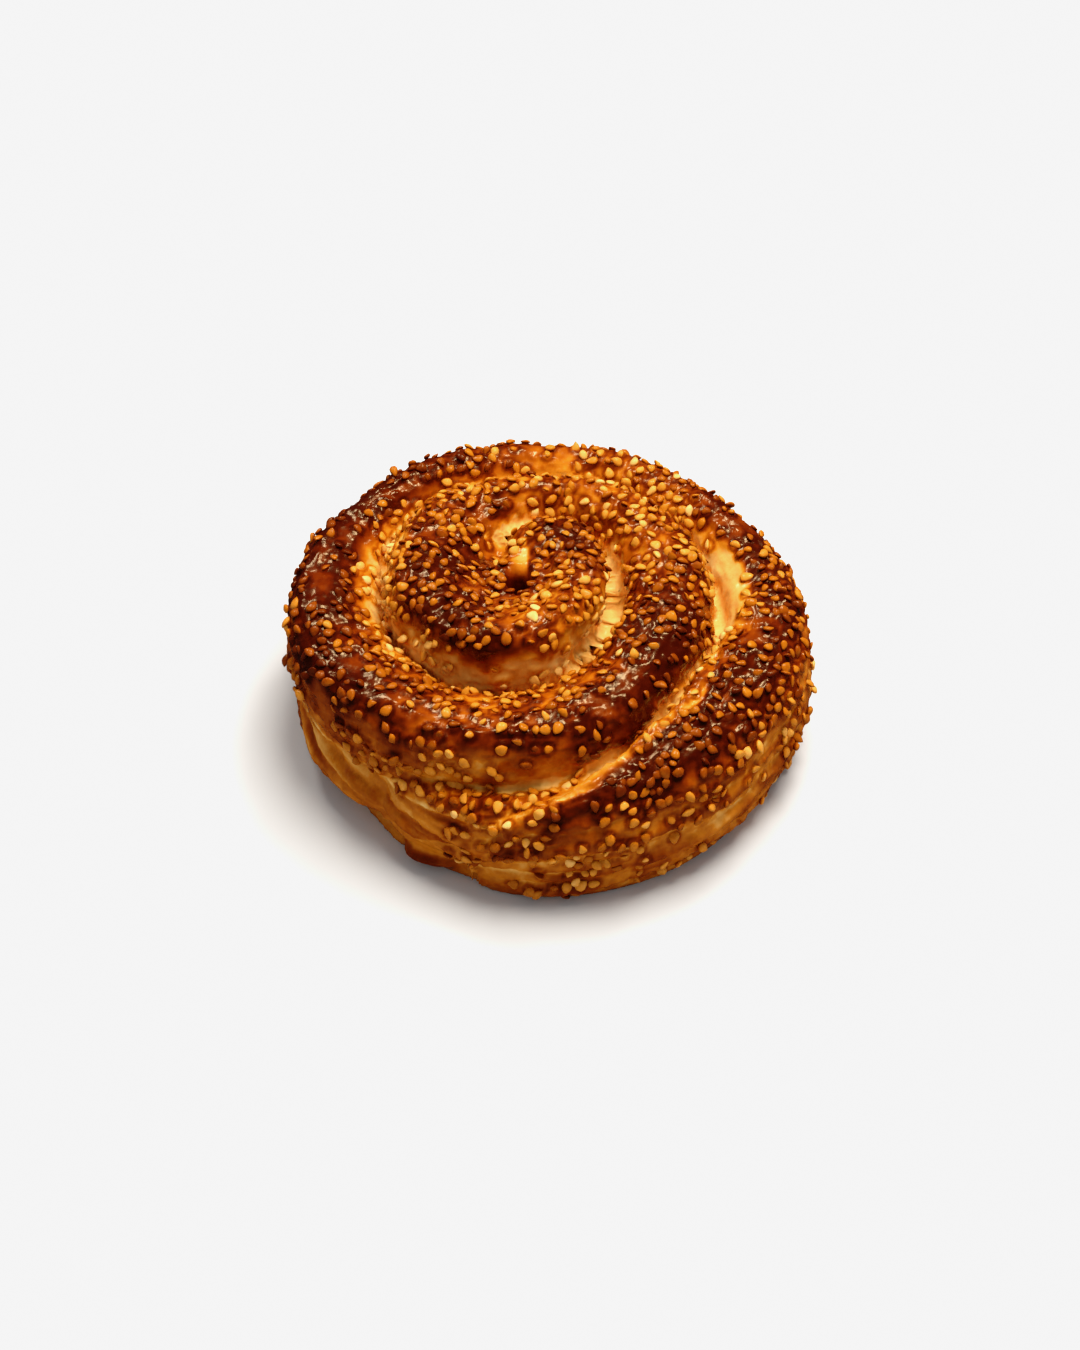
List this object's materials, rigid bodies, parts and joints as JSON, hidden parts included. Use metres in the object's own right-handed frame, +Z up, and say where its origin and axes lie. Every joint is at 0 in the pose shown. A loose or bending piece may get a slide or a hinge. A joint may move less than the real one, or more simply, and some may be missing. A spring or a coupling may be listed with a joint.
{
  "type": "tahini bun",
  "caption": "Round spiral bun rolled from one rope of dough, with a raised middle knob, a tail tucked under at the front, and a glossy browned crust strewn with sesame seeds.",
  "frame": {"origin": "middle of the bun's outline, on the flat bottom it rests on", "axes": "+Z up, the bun's shortest extent; +X to the bun's right, where the outermost turn is widest; -Y to the front, where the tail is tucked under"},
  "size_m": [0.1432, 0.1376, 0.0566],
  "materials": {
    "crust": "egg-washed baked crust, dark mahogany on the crests, golden brown on the slopes, pale cream in the seams, glossy",
    "sesame": "toasted hulled sesame seed, golden tan, slightly glossy from the egg wash"
  },
  "bodies": {
    "root": {"bun": "crust", "sesame_seed_01": "sesame", "sesame_seed_02": "sesame", "sesame_seed_03": "sesame", "sesame_seed_04": "sesame", "sesame_seed_05": "sesame", "sesame_seed_06": "sesame", "sesame_seed_07": "sesame", "sesame_seed_08": "sesame", "sesame_seed_09": "sesame", "sesame_seed_10": "sesame", "sesame_seed_11": "sesame", "sesame_seed_12": "sesame", "sesame_seed_13": "sesame", "sesame_seed_14": "sesame", "sesame_seed_15": "sesame", "sesame_seed_16": "sesame", "sesame_seed_17": "sesame", "sesame_seed_18": "sesame", "sesame_seed_19": "sesame", "sesame_seed_20": "sesame", "sesame_seed_21": "sesame", "sesame_seed_22": "sesame", "sesame_seed_23": "sesame", "sesame_seed_24": "sesame", "sesame_seed_25": "sesame", "sesame_seed_26": "sesame", "sesame_seed_27": "sesame", "sesame_seed_28": "sesame", "sesame_seed_29": "sesame", "sesame_seed_30": "sesame", "sesame_seed_31": "sesame", "sesame_seed_32": "sesame", "sesame_seed_33": "sesame", "sesame_seed_34": "sesame", "sesame_seed_35": "sesame", "sesame_seed_36": "sesame", "sesame_seed_37": "sesame", "sesame_seed_38": "sesame", "sesame_seed_39": "sesame", "sesame_seed_40": "sesame", "sesame_seed_41": "sesame", "sesame_seed_42": "sesame", "sesame_seed_43": "sesame", "sesame_seed_44": "sesame", "sesame_seed_45": "sesame", "sesame_seed_46": "sesame", "sesame_seed_47": "sesame", "sesame_seed_48": "sesame"}
  },
  "joints": []
}
